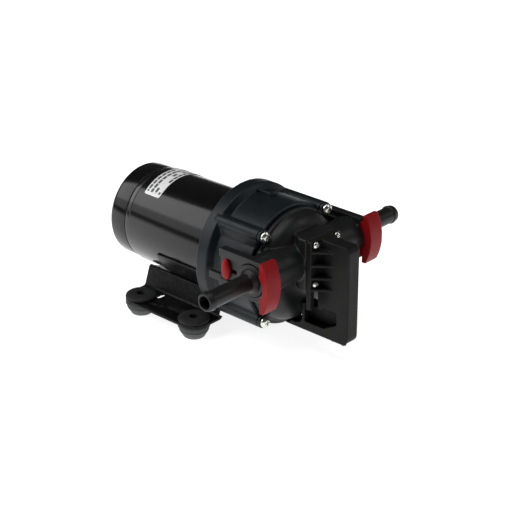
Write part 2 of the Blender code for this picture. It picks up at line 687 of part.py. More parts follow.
def switch_details():
    head = bpy.data.objects["pump_head"]
    for index, (y, z) in enumerate(switch_screw_places()):
        cut(head, rod(f"pad_pilot_{index}", 1.9, 12, (71.0, y, z), ALONG_X, sides=8))
        screw = turned(f"switch_screw_{index + 1}", pan_screw(2.7, 2.2, 1.5, 13.0), "steel",
                       (FLANGE_FRONT + GAP, y, z), steps=10)
        cross_recess(screw, (FLANGE_FRONT + GAP + 2.2, y, z), 0.8, 3.4, 1.0)
    flat("switch_cover", [switch_outline(2.2)], 1.4, "head_black", (0, SWITCH_HALF - 0.7, 0))
    turned("switch_diaphragm", [(74.6, 0), (74.6, 9.0), (73.6, 9.0), (73.6, 0)], "rubber",
           (0, 0, SENSE_Z), steps=16)
    turned("switch_plunger", [(86.0, 0), (86.0, 1.5), (85.6, 1.9), (76.2, 1.9), (76.2, 6.0),
                              (75.0, 6.0), (75.0, 0)], "nylon_white", (0, 0, SENSE_Z), steps=12)
    turns, per_turn, radius = 3, 7, 3.1
    coil = []
    for index in range(turns * per_turn + 1):
        angle = math.tau * index / per_turn
        along = 77.5 + 3.3 * index / (turns * per_turn)
        coil.append((along, radius * math.cos(angle), SENSE_Z + radius * math.sin(angle)))
    wire("switch_spring", coil, 0.35, "steel")
    box("microswitch", (87.4, 97.4), (-3.6, 3.6), (-5.0, 15.0), "head_black")
    for name, x in zip(("supply", "motor"), GLAND_X):
        turned(f"{name}_cable_gland", [
            (0.6, 2.6), (0.0, 2.6), (0.0, 1.6), (-2.4, 1.6), (-2.4, 2.3), (-4.9, 1.9),
            (-4.9, 0.7), (0.6, 0.7)], "rubber", (x, 0, -43.9), UPRIGHT, steps=10)


# --------------------------------------------------------------------------------------- base


def base_bracket():
    """Hat-section sheet: a curved saddle top, two sloping webs and two foot plates."""
    half = PLATE_SHEET / 2
    middle = [(28.5, PLATE_TOP - half)]
    saddle = 40.6
    start = math.degrees(math.atan2(22.9, 33.4))
    wing = arc((0, 0), saddle, -90 + start, -90, 5)
    line = [(57.0, PLATE_TOP - half)] + middle + wing
    line = line + [(-y, z) for y, z in reversed(line[:-1])]
    sheet = offset_strip(line, half)
    length = FEET_X[1] - FEET_X[0] + 2 * 12.5
    centre = (FEET_X[0] + FEET_X[1]) / 2
    bracket = flat("base_bracket", [sheet], length, "bracket_black", (centre, 0, 0), PLANE_YZ)
    plan = []
    for x, y, start in ((3.5 - 12.5, 44.5, 0), (-78.5 + 12.5, 44.5, 90), (-78.5 + 12.5, -44.5, 180),
                        (3.5 - 12.5, -44.5, 270)):
        plan += arc((x, y), 12.5, start, start + 90, 5)
    keep = flat("bracket_plan", [plan], 60, None, (0, 0, -50), UPRIGHT)
    boolean(bracket, keep, "INTERSECT")
    cut(bracket, box("ring_room", (0.3, 9), (-29.0, 29.0), (PLATE_TOP + 0.2, -25)))
    for index, (x, y) in enumerate((x, s * FEET_Y) for x in FEET_X for s in (-1, 1)):
        cut(bracket, rod(f"foot_hole_{index}", 7.0, 8, (x, y, PLATE_TOP), UPRIGHT, sides=12))
    for index, side in enumerate((-1, 1)):
        cut(bracket, flat(f"drain_slot_{index}", [rounded((-57.7, -53.3), (-4.5, 4.5), 2.0, 3)], 8,
                          None, (0, side * 34.2, PLATE_TOP), UPRIGHT))
    flat("motor_saddle", [sector(CAN_RADIUS + GAP, 39.4, -90 - 72, -90 + 72, 17)], 47.0,
         "bracket_black", (-32.0, 0, 0), PLANE_YZ)


def offset_strip(line, half):
    """A closed strip outline of constant thickness about an open line."""
    left, right = [], []
    for index, (u, v) in enumerate(line):
        before = line[max(index - 1, 0)]
        after = line[min(index + 1, len(line) - 1)]
        first = direction(before, (u, v)) if index else direction((u, v), after)
        second = direction((u, v), after) if index < len(line) - 1 else first
        across = (-(first[1] + second[1]), first[0] + second[0])
        scale = half / (across[0] * -first[1] + across[1] * first[0])
        left.append((u + across[0] * scale, v + across[1] * scale))
        right.append((u - across[0] * scale, v - across[1] * scale))
    return left + right[::-1]


def direction(a, b):
    du, dv = b[0] - a[0], b[1] - a[1]
    size = math.hypot(du, dv)
    return (du / size, dv / size)


def rubber_feet():
    names = ("rear_near", "rear_far", "front_near", "front_far")
    places = [(x, s * FEET_Y) for x in FEET_X for s in (-1, 1)]
    bottom = -AXIS_HEIGHT
    under = PLATE_TOP - PLATE_SHEET - GAP
    over = PLATE_TOP + GAP
    for name, (x, y) in zip(names, places):
        turned(f"rubber_foot_{name}", [
            (-45.4, 8.8), (-46.2, 11.6), (over, 12.4), (over, 6.5), (under, 6.5), (under, 12.2),
            (-53.6, 12.2), (bottom, 8.0), (bottom, 3.4), (-45.4, 3.4)],
            "rubber", (x, y, 0), UPRIGHT, steps=14)


def build():
    global KIT
    clear_scene()
    KIT = Kit()
    motor_shell()
    rating_label()
    magnets()
    bearings()
    motor_front_plate()
    rotor()
    brushes()
    drive_housing()
    wobble_stack()
    valve_plate()
    pump_head()
    head_screws()
    ports()
    switch_housing()
    switch_details()
    base_bracket()
    rubber_feet()


build()
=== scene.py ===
import math

import bmesh
import bpy
from mathutils import Matrix, Vector


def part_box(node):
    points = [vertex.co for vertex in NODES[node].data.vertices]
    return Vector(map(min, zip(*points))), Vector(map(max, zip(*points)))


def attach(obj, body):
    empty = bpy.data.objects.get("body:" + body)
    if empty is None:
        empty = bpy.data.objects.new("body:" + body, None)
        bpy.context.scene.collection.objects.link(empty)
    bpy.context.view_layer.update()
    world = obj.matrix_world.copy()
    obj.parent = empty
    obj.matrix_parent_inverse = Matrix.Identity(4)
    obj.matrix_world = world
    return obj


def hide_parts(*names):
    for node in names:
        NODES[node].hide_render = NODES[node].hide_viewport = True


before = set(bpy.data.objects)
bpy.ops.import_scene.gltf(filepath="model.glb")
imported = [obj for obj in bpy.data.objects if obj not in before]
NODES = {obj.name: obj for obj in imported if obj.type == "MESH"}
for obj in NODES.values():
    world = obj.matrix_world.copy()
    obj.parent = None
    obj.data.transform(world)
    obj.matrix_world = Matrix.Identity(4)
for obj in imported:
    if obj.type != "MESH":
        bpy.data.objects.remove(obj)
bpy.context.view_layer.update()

# Shapes are written in millimetres from the pump axis: x along it towards the head, z up.
MM = 0.001
CAN_LOW, CAN_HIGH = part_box("motor_can")
AXIS = (CAN_LOW.z + CAN_HIGH.z) / 2
CAN_RADIUS = (CAN_HIGH.z - CAN_LOW.z) / 2 / MM
WORKSHOP = bpy.data.collections.new("workshop")
bpy.context.scene.collection.children.link(WORKSHOP)


def reach(node, axis):
    """The lowest and highest value of a CAD node along one axis, in millimetres from the axis."""
    low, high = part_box(node)
    lift = AXIS if axis == 2 else 0.0
    return (low[axis] - lift) / MM, (high[axis] - lift) / MM


# ---------------------------------------------------------------------------- outlines


def soft(points, closed=True, steps=4):
    """Round the corners of an outline given as (u, v, radius)."""
    result = []
    count = len(points)
    for index, (u, v, radius) in enumerate(points):
        corner = Vector((u, v))
        end = not closed and index in (0, count - 1)
        before = Vector(points[index - 1][:2]) - corner
        after = Vector(points[(index + 1) % count][:2]) - corner
        if radius <= 0 or end:
            result.append((u, v))
            continue
        longest = min(before.length, after.length) * 0.49
        before.normalize()
        after.normalize()
        half = before.angle(after) / 2
        if half > math.radians(87):
            result.append((u, v))
            continue
        back = min(radius / math.tan(half), longest)
        size = back * math.tan(half)
        centre = corner + (before + after).normalized() * (size / math.sin(half))
        first = corner + before * back - centre
        last = corner + after * back - centre
        swing = math.pi - 2 * half
        for step in range(steps + 1):
            t = step / steps
            a = math.sin((1 - t) * swing) / math.sin(swing)
            b = math.sin(t * swing) / math.sin(swing)
            point = centre + first * a + last * b
            result.append((point.x, point.y))
    return result


def arc(centre, radius, start, end, count):
    step = (end - start) / (count - 1)
    turns = [math.radians(start + step * i) for i in range(count)]
    return [(centre[0] + radius * math.cos(t), centre[1] + radius * math.sin(t)) for t in turns]


def rectangle(u, v, radius, steps=4):
    (u0, u1), (v0, v1) = u, v
    return soft([(u0, v0, radius), (u1, v0, radius), (u1, v1, radius), (u0, v1, radius)],
                steps=steps)


# ------------------------------------------------------------------------------ meshes


def to_world(mesh):
    mesh.transform(Matrix.Translation((0, 0, AXIS)) @ Matrix.Scale(MM, 4))
    return mesh


def mesh_of(work):
    bmesh.ops.recalc_face_normals(work, faces=work.faces)
    mesh = bpy.data.meshes.new("shape")
    work.to_mesh(mesh)
    work.free()
    return mesh


TURN_X = Matrix(((0, 0, 1, 0), (1, 0, 0, 0), (0, 1, 0, 0), (0, 0, 0, 1)))
TURN_PLUS_Y = Matrix(((1, 0, 0, 0), (0, 0, 1, 0), (0, -1, 0, 0), (0, 0, 0, 1)))
TURN_MINUS_Y = Matrix(((1, 0, 0, 0), (0, 0, -1, 0), (0, 1, 0, 0), (0, 0, 0, 1)))
TURN_Z = Matrix.Identity(4)


def lathe(profile, turn=TURN_X, at=(0, 0, 0), sides=96):
    """Spin (along, radius) pairs about the along axis. Ends on the axis make a closed solid."""
    work = bmesh.new()
    ring = profile[0][1] > 1e-6
    rings = []
    for along, radius in profile:
        if radius <= 1e-6:
            rings.append([work.verts.new((0, 0, along))])
            continue
        rings.append([work.verts.new((radius * math.cos(math.tau * k / sides),
                                      radius * math.sin(math.tau * k / sides), along))
                      for k in range(sides)])
    pairs = list(zip(rings, rings[1:]))
    if ring:
        pairs.append((rings[-1], rings[0]))
    for a, b in pairs:
        for k in range(sides):
            n = (k + 1) % sides
            corners = [a[k % len(a)], a[n % len(a)], b[n % len(b)], b[k % len(b)]]
            unique = list(dict.fromkeys(corners))
            if len(unique) > 2:
                work.faces.new(unique)
    bmesh.ops.transform(work, matrix=Matrix.Translation(at) @ turn, verts=work.verts)
    return mesh_of(work)


PLANES = {"XZ": Matrix(((1, 0, 0, 0), (0, 0, -1, 0), (0, 1, 0, 0), (0, 0, 0, 1))),
          "YZ": Matrix(((0, 0, 1, 0), (1, 0, 0, 0), (0, 1, 0, 0), (0, 0, 0, 1))),
          "XY": Matrix.Identity(4)}


def prism(outline, plane, low, high):
    """A straight extrusion of one outline between two positions across its plane."""
    work = bmesh.new()
    flip = -1 if plane == "XZ" else 1
    rows = [[work.verts.new((u, v, level * flip)) for u, v in outline] for level in (low, high)]
    work.faces.new(rows[0])
    work.faces.new(rows[1])
    count = len(outline)
    for k in range(count):
        n = (k + 1) % count
        work.faces.new((rows[0][k], rows[0][n], rows[1][n], rows[1][k]))
    bmesh.ops.transform(work, matrix=PLANES[plane], verts=work.verts)
    return mesh_of(work)


def block(x, y, z):
    return prism([(x[0], z[0]), (x[1], z[0]), (x[1], z[1]), (x[0], z[1])], "XZ", y[0], y[1])


def rod(radius, start, end, turn, at, sides=32):
    return lathe([(end, 0), (end, radius), (start, radius), (start, 0)], turn, at, sides)


def evaluated(data, modifiers=()):
    """The mesh of a curve or mesh after its modifiers, given as (type, settings) pairs."""
    obj = bpy.data.objects.new("temporary", data)
    WORKSHOP.objects.link(obj)
    helpers = []
    for kind, settings in modifiers:
        step = obj.modifiers.new(kind.lower(), kind)
        for key, value in settings.items():
            if key == "object":
                helper = bpy.data.objects.new("helper", value)
                WORKSHOP.objects.link(helper)
                helpers.append(helper)
                value = helper
            setattr(step, key, value)
    bpy.context.view_layer.update()
    seen = obj.evaluated_get(bpy.context.evaluated_depsgraph_get())
    mesh = bpy.data.meshes.new_from_object(seen)
    for extra in helpers + [obj]:
        bpy.data.objects.remove(extra, do_unlink=True)
    return mesh


def carve(mesh, add=(), cut=(), keep=()):
    """Boolean steps on a closed mesh: unions, then cuts, then intersections."""
    steps = []
    for operation, others in (("UNION", add), ("DIFFERENCE", cut), ("INTERSECT", keep)):
        for other in others:
            steps.append(("BOOLEAN", {"operation": operation, "object": other,
                                      "solver": "MANIFOLD"}))
    return evaluated(mesh, steps)


def moulded(mesh, voxel=0.6, smooth=4, ratio=1.0):
    """Give a rough solid the small even radii of an injection moulding."""
    steps = [("REMESH", {"mode": "VOXEL", "voxel_size": voxel, "use_smooth_shade": True}),
             ("SMOOTH", {"factor": 0.5, "iterations": smooth})]
    if ratio < 1.0:
        steps.append(("DECIMATE", {"ratio": ratio}))
    return evaluated(mesh, steps)


def bevelled(mesh, width=0.4, segments=2, angle=40):
    steps = [("BEVEL", {"width": width, "segments": segments, "limit_method": "ANGLE",
                        "angle_limit": math.radians(angle), "use_clamp_overlap": True})]
    return evaluated(mesh, steps)


def piece(name, mesh, finish, body="root", angle=35):
    """Put a finished mesh in the scene in place of its CAD node."""
    to_world(mesh)
    mesh.name = name
    mesh.materials.clear()
    mesh.materials.append(finish)
    mesh.shade_smooth()
    if angle:
        mesh.set_sharp_from_angle(angle=math.radians(angle))
    obj = bpy.data.objects.new(name, mesh)
    bpy.context.scene.collection.objects.link(obj)
    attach(obj, body)
    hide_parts(name.replace("_visual", ""))
    return obj


# --------------------------------------------------------------------------- materials


NOISE_ROUGHNESS = 0.55
# Heights in metres over which a material turns lighter towards the bottom: painted light bounced
# up from the floor.
PAINTED_BOUNCE_HEIGHTS = (0.013, 0.001)


class Nodes:
    """A short way to write a material's node tree."""

    def __init__(self, name):
        self.material = bpy.data.materials.new(name)
        self.material.use_nodes = True
        self.tree = self.material.node_tree
        self.shader = self.tree.nodes["Principled BSDF"]
        self.place = self.node("ShaderNodeTexCoord").outputs["Object"]

    def node(self, kind, **settings):
        made = self.tree.nodes.new(kind)
        for key, value in settings.items():
            setattr(made, key, value)
        return made

    def link(self, source, target):
        self.tree.links.new(source, target)

    def noise(self, scale, detail=3.0, seed=0.0):
        place = self.place
        if seed:
            mapping = self.node("ShaderNodeMapping")
            self.link(self.place, mapping.inputs["Vector"])
            mapping.inputs["Location"].default_value = (seed, seed * 0.7, seed * 1.3)
            place = mapping.outputs["Vector"]
        made = self.node("ShaderNodeTexNoise")
        self.link(place, made.inputs["Vector"])
        made.inputs["Scale"].default_value = scale
        made.inputs["Detail"].default_value = detail
        made.inputs["Roughness"].default_value = NOISE_ROUGHNESS
        return made.outputs["Fac"]

    def ramp(self, value, low, high, to_low=0.0, to_high=1.0):
        made = self.node("ShaderNodeMapRange")
        self.link(value, made.inputs["Value"])
        made.inputs["From Min"].default_value = low
        made.inputs["From Max"].default_value = high
        made.inputs["To Min"].default_value = to_low
        made.inputs["To Max"].default_value = to_high
        return made.outputs["Result"]

    def math(self, operation, a, b=0.0):
        made = self.node("ShaderNodeMath", operation=operation)
        for index, value in enumerate((a, b)):
            if isinstance(value, bpy.types.NodeSocket):
                self.link(value, made.inputs[index])
            else:
                made.inputs[index].default_value = value
        return made.outputs["Value"]

    def mix(self, share, a, b):
        made = self.node("ShaderNodeMix", data_type="RGBA")
        for name, value in (("Factor", share), ("A", a), ("B", b)):
            socket = [s for s in made.inputs if s.name == name and s.enabled][0]
            if isinstance(value, bpy.types.NodeSocket):
                self.link(value, socket)
            else:
                socket.default_value = value
        return [s for s in made.outputs if s.enabled][0]

    def bump(self, height, strength, distance, under=None):
        made = self.node("ShaderNodeBump")
        self.link(height, made.inputs["Height"])
        made.inputs["Strength"].default_value = strength
        made.inputs["Distance"].default_value = distance
        if under:
            self.link(under, made.inputs["Normal"])
        return made.outputs["Normal"]


def shade(colour, factor):
    return tuple(min(1.0, c * factor) for c in colour[:3]) + (1.0,)


def surface(name, colour, rough, metallic=0.0, vary=0.18, mottle=70.0, grain=2400.0,
            depth=0.00006, strength=0.25, rough_vary=0.06, edge=0.0, edge_wear_and_highlight=3.2, specular=0.5,
            coat=0.0, coat_rough=0.08, peel=0.0, painted_floor_bounce=0.0):
    """A material with mottled colour, uneven gloss, a fine surface grain, lighter edges that are
    partly wear and partly painted highlight, and an optional painted floor bounce that lightens it
    towards the bottom.
    """
    kit = Nodes(name)
    shader = kit.shader
    base = kit.mix(kit.ramp(kit.noise(mottle, 4.0), 0.3, 0.7), shade(colour, 1 - vary),
                   shade(colour, 1 + vary))
    # Lighter edges: wear on the mouldings and, where the lift is strong, a painted highlight along
    # folds and edges.
    if edge:
        point = kit.node("ShaderNodeNewGeometry").outputs["Pointiness"]
        wear_and_highlight_mask = kit.math("MULTIPLY", kit.ramp(point, 0.515, 0.58),
                        kit.ramp(kit.noise(420.0, 5.0, seed=3.0), 0.35, 0.62))
        base = kit.mix(kit.math("MULTIPLY", wear_and_highlight_mask, edge), base, shade(colour, edge_wear_and_highlight))
    # Lighter towards the bottom: painted light, standing in for light bounced up from the floor.
    if painted_floor_bounce:
        split = kit.node("ShaderNodeSeparateXYZ")
        kit.link(kit.place, split.inputs["Vector"])
        base = kit.mix(kit.ramp(split.outputs["Z"], *PAINTED_BOUNCE_HEIGHTS), base, shade(colour, painted_floor_bounce))
    kit.link(base, shader.inputs["Base Color"])
    kit.link(kit.ramp(kit.noise(mottle * 2.3, 3.0, seed=7.0), 0.3, 0.7, rough - rough_vary,
                      rough + rough_vary), shader.inputs["Roughness"])
    normal = kit.bump(kit.noise(grain, 2.0, seed=1.0), strength, depth)
    if peel:
        normal = kit.bump(kit.noise(320.0, 1.0, seed=5.0), peel, 0.0002, normal)
    kit.link(normal, shader.inputs["Normal"])
    shader.inputs["Metallic"].default_value = metallic
    shader.inputs["Specular IOR Level"].default_value = specular
    if coat:
        shader.inputs["Coat Weight"].default_value = coat
        shader.inputs["Coat Roughness"].default_value = coat_rough
    return kit.material


PRINT_ROWS, PRINT_CELLS, PRINT_SHIFT = 4.0, 15.0, 0.37


def label_foil():
    """Silver-white foil with rows of short grey bars that stand in for printing."""
    kit = Nodes("label_foil")
    place = kit.node("ShaderNodeUVMap", uv_map="print").outputs["UV"]
    split = kit.node("ShaderNodeSeparateXYZ")
    kit.link(place, split.inputs["Vector"])
    along, up = split.outputs["X"], split.outputs["Y"]
    rows = kit.math("MULTIPLY", up, PRINT_ROWS)
    row = kit.math("FLOOR", rows)
    inside = kit.math("FRACT", rows)
    words = kit.math("MULTIPLY", along, PRINT_CELLS)
    shift = kit.math("MULTIPLY", row, PRINT_SHIFT)
    cells = kit.math("ADD", words, shift)
    join = kit.node("ShaderNodeCombineXYZ")
    kit.link(kit.math("FLOOR", cells), join.inputs["X"])
    kit.link(row, join.inputs["Y"])
    chance = kit.node("ShaderNodeTexWhiteNoise", noise_dimensions="2D")
    kit.link(join.outputs["Vector"], chance.inputs["Vector"])
    bar = kit.math("MULTIPLY", kit.math("GREATER_THAN", chance.outputs["Value"], 0.16),
                   kit.math("GREATER_THAN", kit.math("FRACT", cells), 0.14))
    tall = kit.math("MULTIPLY", kit.math("GREATER_THAN", inside, 0.22),
                    kit.math("LESS_THAN", inside, 0.80))
    field = kit.math("MULTIPLY", kit.math("GREATER_THAN", along, 0.04),
                     kit.math("LESS_THAN", along, 0.965))
    gap = kit.math("GREATER_THAN",
                   kit.math("ABSOLUTE", kit.math("SUBTRACT", along, 0.44)), 0.012)
    margin = kit.math("MULTIPLY", kit.math("GREATER_THAN", up, 0.07),
                      kit.math("LESS_THAN", up, 0.93))
    ink = bar
    for factor in (tall, field, gap, margin):
        ink = kit.math("MULTIPLY", ink, factor)
    paper = kit.mix(kit.ramp(kit.noise(160.0), 0.3, 0.7), (0.84, 0.84, 0.84, 1),
                    (0.90, 0.90, 0.90, 1))
    kit.link(kit.mix(kit.math("MULTIPLY", ink, 0.92), paper, (0.02, 0.02, 0.022, 1)),
             kit.shader.inputs["Base Color"])
    kit.link(kit.ramp(kit.noise(300.0, seed=2.0), 0.3, 0.7, 0.34, 0.46),
             kit.shader.inputs["Roughness"])
    kit.link(kit.bump(kit.noise(900.0, seed=4.0), 0.08, 0.0001), kit.shader.inputs["Normal"])
    return kit.material


def banded(name, colour, dark, rough, scale):
    """Metal with fine lines across the axis, for turned steel, laminations and windings."""
    kit = Nodes(name)
    wave = kit.node("ShaderNodeTexWave", wave_type="BANDS", bands_direction="X")
    kit.link(kit.place, wave.inputs["Vector"])
    wave.inputs["Scale"].default_value = scale
    wave.inputs["Distortion"].default_value = 0.6
    wave.inputs["Detail"].default_value = 2.0
    lines = wave.outputs["Fac"]
    patch = kit.ramp(kit.noise(120.0), 0.3, 0.7, 0.0, 0.5)
    base = kit.mix(kit.math("MULTIPLY", lines, 0.8), dark, colour)
    kit.link(kit.mix(patch, base, shade(colour, 0.8)), kit.shader.inputs["Base Color"])
    kit.link(kit.ramp(lines, 0.0, 1.0, rough + 0.1, rough - 0.05),
             kit.shader.inputs["Roughness"])
    kit.link(kit.bump(lines, 0.3, 0.0001), kit.shader.inputs["Normal"])
    kit.shader.inputs["Metallic"].default_value = 1.0
    return kit.material


PAINT = surface("motor_paint", (0.0035, 0.0035, 0.0038), 0.17, vary=0.2, grain=1500.0,
                strength=0.03, rough_vary=0.02, peel=0.02, specular=0.34, coat=0.12,
                coat_rough=0.07)
SEAL = surface("bell_seal", (0.004, 0.004, 0.0045), 0.24, strength=0.08, rough_vary=0.03,
               coat=0.3)
HOUSING = surface("housing_plastic", (0.0058, 0.0095, 0.0125), 0.40, vary=0.16, edge=0.5,
                  strength=0.22, rough_vary=0.05, specular=0.27)
HEAD = surface("head_plastic", (0.0072, 0.0078, 0.0084), 0.42, vary=0.20, edge=0.5,
               strength=0.22, rough_vary=0.06, specular=0.36)
SWITCH = surface("switch_plastic", (0.0110, 0.0104, 0.0100), 0.46, vary=0.18, edge=0.6,
                 strength=0.25, rough_vary=0.05, specular=0.13)
NYLON = surface("fitting_nylon", (0.0075, 0.0068, 0.0064), 0.44, vary=0.20, edge=0.4,
                strength=0.2, rough_vary=0.06, specular=0.36)
RED = surface("clip_red", (0.26, 0.0050, 0.0080), 0.42, vary=0.07, edge=0.12, strength=0.12,
              rough_vary=0.04, specular=0.16)
# The strong edge lift of the bracket paint is a painted highlight along the folds.
BRACKET = surface("bracket_paint", (0.0022, 0.0022, 0.0023), 0.36, vary=0.25, edge=0.9,
                  strength=0.12, rough_vary=0.06, peel=0.12, edge_wear_and_highlight=14.0, specular=0.12)
# The rubber is painted lighter towards its bottom: painted floor bounce light.
RUBBER = surface("rubber", (0.0160, 0.0165, 0.0168), 0.72, vary=0.3, mottle=140.0,
                 strength=0.45, depth=0.0001, rough_vary=0.08, edge=0.3, specular=0.25,
                 painted_floor_bounce=8.0)
STEEL = surface("stainless", (0.74, 0.74, 0.71), 0.20, metallic=1.0, vary=0.10, mottle=500.0,
                strength=0.04, rough_vary=0.04)
LABEL = label_foil()
WHITE = surface("white_nylon", (0.66, 0.64, 0.58), 0.48, vary=0.06, strength=0.2)
FERRITE = surface("ferrite", (0.045, 0.045, 0.048), 0.62, metallic=0.2, vary=0.25,
                  mottle=260.0, strength=0.4)
CARBON = surface("carbon", (0.03, 0.03, 0.031), 0.55, metallic=0.3, vary=0.3, mottle=900.0,
                 strength=0.3)
CAST = surface("die_cast", (0.62, 0.63, 0.64), 0.42, metallic=1.0, vary=0.12, mottle=300.0,
               strength=0.35)
COPPER = banded("copper", (0.72, 0.32, 0.16, 1), (0.28, 0.09, 0.04, 1), 0.34, 260.0)
LAMINATED = banded("laminated_steel", (0.46, 0.46, 0.47, 1), (0.10, 0.10, 0.10, 1), 0.4, 330.0)
GROUND = banded("ground_steel", (0.60, 0.60, 0.60, 1), (0.45, 0.45, 0.45, 1), 0.24, 900.0)


# ---------------------------------------------------------------------- camera and light

VIEW_AZIMUTH = math.radians(42.69)
VIEW_ELEVATION = math.radians(25.16)
VIEW_DISTANCE = 1091.5
VIEW_ROLL = math.radians(-0.14)
VIEW_SHIFT = (-8.55, 7.56)
VIEW_LENS = 102.96
FLOOR_HALF, FLOOR_DROP = 6.0, 0.0004


def camera():
    flat = math.cos(VIEW_ELEVATION)
    back = Vector((math.sin(VIEW_AZIMUTH) * flat, -math.cos(VIEW_AZIMUTH) * flat,
                   math.sin(VIEW_ELEVATION)))
    right = Vector((math.cos(VIEW_AZIMUTH), math.sin(VIEW_AZIMUTH), 0))
    up = back.cross(right)
    c, s = math.cos(VIEW_ROLL), math.sin(VIEW_ROLL)
    right, up = right * c + up * s, up * c - right * s
    data = bpy.data.cameras.new("camera")
    data.lens = VIEW_LENS
    data.sensor_width = 36.0
    data.clip_end = 100.0
    obj = bpy.data.objects.new("camera", data)
    place = (back * VIEW_DISTANCE - right * VIEW_SHIFT[0] - up * VIEW_SHIFT[1]) * MM
    place.z += AXIS
    obj.matrix_world = Matrix.Translation(place) @ Matrix((right, up, back)).transposed().to_4x4()
    bpy.context.scene.collection.objects.link(obj)
    bpy.context.scene.camera = obj


def softbox(name, place, facing, size, strength):
    """A rectangular light at a place in metres from the pump, turned to face along a direction."""
    light = bpy.data.lights.new(name, "AREA")
    light.shape = "RECTANGLE"
    light.size, light.size_y = size
    light.energy = strength * size[0] * size[1] * math.pi
    obj = bpy.data.objects.new(name, light)
    obj.location = Vector(place) + Vector((0, 0, AXIS))
    obj.rotation_euler = (-Vector(facing)).to_track_quat("Z", "Y").to_euler()
    bpy.context.scene.collection.objects.link(obj)


def studio():
    floor = bpy.data.meshes.new("floor")
    size = FLOOR_HALF
    around = ((-size, -size), (size, -size), (size, size), (-size, size))
    floor.from_pydata([(x, y, -FLOOR_DROP) for x, y in around], [], [(0, 1, 2, 3)])
    paper = bpy.data.materials.new("pale_floor")
    paper.use_nodes = True
    shader = paper.node_tree.nodes["Principled BSDF"]
    shader.inputs["Base Color"].default_value = (0.80, 0.80, 0.80, 1)
    shader.inputs["Roughness"].default_value = 0.9
    shader.inputs["Specular IOR Level"].default_value = 0.1
    shader.inputs["Emission Color"].default_value = (1, 1, 1, 1)
    shader.inputs["Emission Strength"].default_value = 0.85
    floor.materials.append(paper)
    obj = bpy.data.objects.new("floor", floor)
    bpy.context.scene.collection.objects.link(obj)
    world = bpy.data.worlds.new("world")
    bpy.context.scene.world = world
    world.use_nodes = True
    world.node_tree.nodes["Background"].inputs["Color"].default_value = (1, 1, 1, 1)
    world.node_tree.nodes["Background"].inputs["Strength"].default_value = 0.05
    softbox("key", (-0.85, -0.575, 0.77), (0, 0.65, -0.76), (1.5, 0.78), 2.6)
    softbox("skirt", (-0.85, -0.96, 0.36), (0, 0.93, -0.36), (1.5, 0.36), 1.1)
    softbox("overhead", (0.16, -0.10, 1.2), (-0.1, 0.05, -1.0), (0.9, 0.8), 1.9)
    softbox("back", (0.75, 0.70, 0.62), (-0.62, -0.58, -0.52), (0.45, 0.45), 1.6)
    softbox("front", (1.3, -0.5, 0.5), (-0.95, 0.35, -0.35), (0.5, 0.9), 0.03)
    bpy.context.scene.view_settings.view_transform = "Standard"


# --------------------------------------------------------------------------------- motor


def motor():
    inner = CAN_RADIUS - 2.0
    rear, front = reach("motor_can", 0)
    can = lathe(soft([(front, CAN_RADIUS, 0.3), (rear, CAN_RADIUS, 1.0), (rear, inner, 0.3),
                      (front, inner, 0.2)]), sides=144)
    piece("motor_can_visual", can, PAINT)
    rear = reach("motor_end_bell", 0)[0]
    outside = reach("motor_end_bell", 2)[1]
    bell = lathe(soft([
        (-90.8, outside, 0.5), (rear, outside, 3.4), (rear, 30.0, 0.6), (rear + 0.9, 28.6, 0.6),
        (rear + 0.9, 17.6, 0.6), (rear, 16.4, 0.8), (rear, 5.6, 0.5), (-102.6, 5.0, 0.2),
        (-102.6, 11.5, 0), (-94.0, 11.5, 0.3), (-94.0, 14.0, 0.3), (-105.5, 15.0, 0.4),
        (-105.5, 31.4, 0.4), (-103.9, 33.0, 0.4), (-82.0, 33.0, 0.2), (-82.0, 35.1, 0.2),
        (-90.8, 35.1, 0.2)]), sides=144)
    piece("motor_end_bell_visual", bell, PAINT)
    low, high = reach("end_bell_seal", 0)
    seal = lathe(soft([(high, outside, 0.5), (low, outside, 0.5), (low, 35.6, 0.1),
                       (high, 35.6, 0.1)]), sides=144)
    piece("end_bell_seal_visual", seal, SEAL)


LABEL_START, LABEL_END = 20.0, 133.0


def rating_label():
    """A thin sheet wrapped round the can, with rounded corners."""
    low, high = reach("rating_label", 0)
    middle, half, corner = (low + high) / 2, (high - low) / 2, 1.6
    inner, outer = CAN_RADIUS + 0.05, CAN_RADIUS + 0.32
    length = math.radians(LABEL_END - LABEL_START) * outer
    ends = [corner * (1 - math.cos(math.radians(15 * k))) for k in range(7)]
    stations = ends[:-1] + [corner + (length - 2 * corner) * k / 60 for k in range(61)]
    stations += [length - e for e in reversed(ends[:-1])]
    work = bmesh.new()
    layer = work.loops.layers.uv.new("print")
    rows = 6
    sheets = []
    for radius in (outer, inner):
        sheet = []
        for s in stations:
            d = min(s, length - s)
            trim = corner - math.sqrt(max(corner ** 2 - (corner - d) ** 2, 0)) if d < corner else 0
            turn = math.radians(LABEL_START) + s / outer
            sheet.append([work.verts.new((middle + (half - trim) * (2 * k / rows - 1),
                                          radius * math.cos(turn), radius * math.sin(turn)))
                          for k in range(rows + 1)])
        sheets.append(sheet)
    top, under = sheets
    count = len(stations)
    for i in range(count - 1):
        for k in range(rows):
            work.faces.new((top[i][k], top[i + 1][k], top[i + 1][k + 1], top[i][k + 1]))
            work.faces.new((under[i][k], under[i][k + 1], under[i + 1][k + 1], under[i + 1][k]))
        for k in (0, rows):
            work.faces.new((top[i][k], top[i + 1][k], under[i + 1][k], under[i][k]))
    for i in (0, count - 1):
        for k in range(rows):
            work.faces.new((top[i][k], top[i][k + 1], under[i][k + 1], under[i][k]))
    for face in work.faces:
        for loop in face.loops:
            turn = math.atan2(loop.vert.co.z, loop.vert.co.y)
            u = (turn - math.radians(LABEL_START)) / math.radians(LABEL_END - LABEL_START)
            loop[layer].uv = (u, (loop.vert.co.x - low) / (high - low))
    piece("rating_label_visual", mesh_of(work), LABEL, angle=50)


# ------------------------------------------------------------------------- drive housing

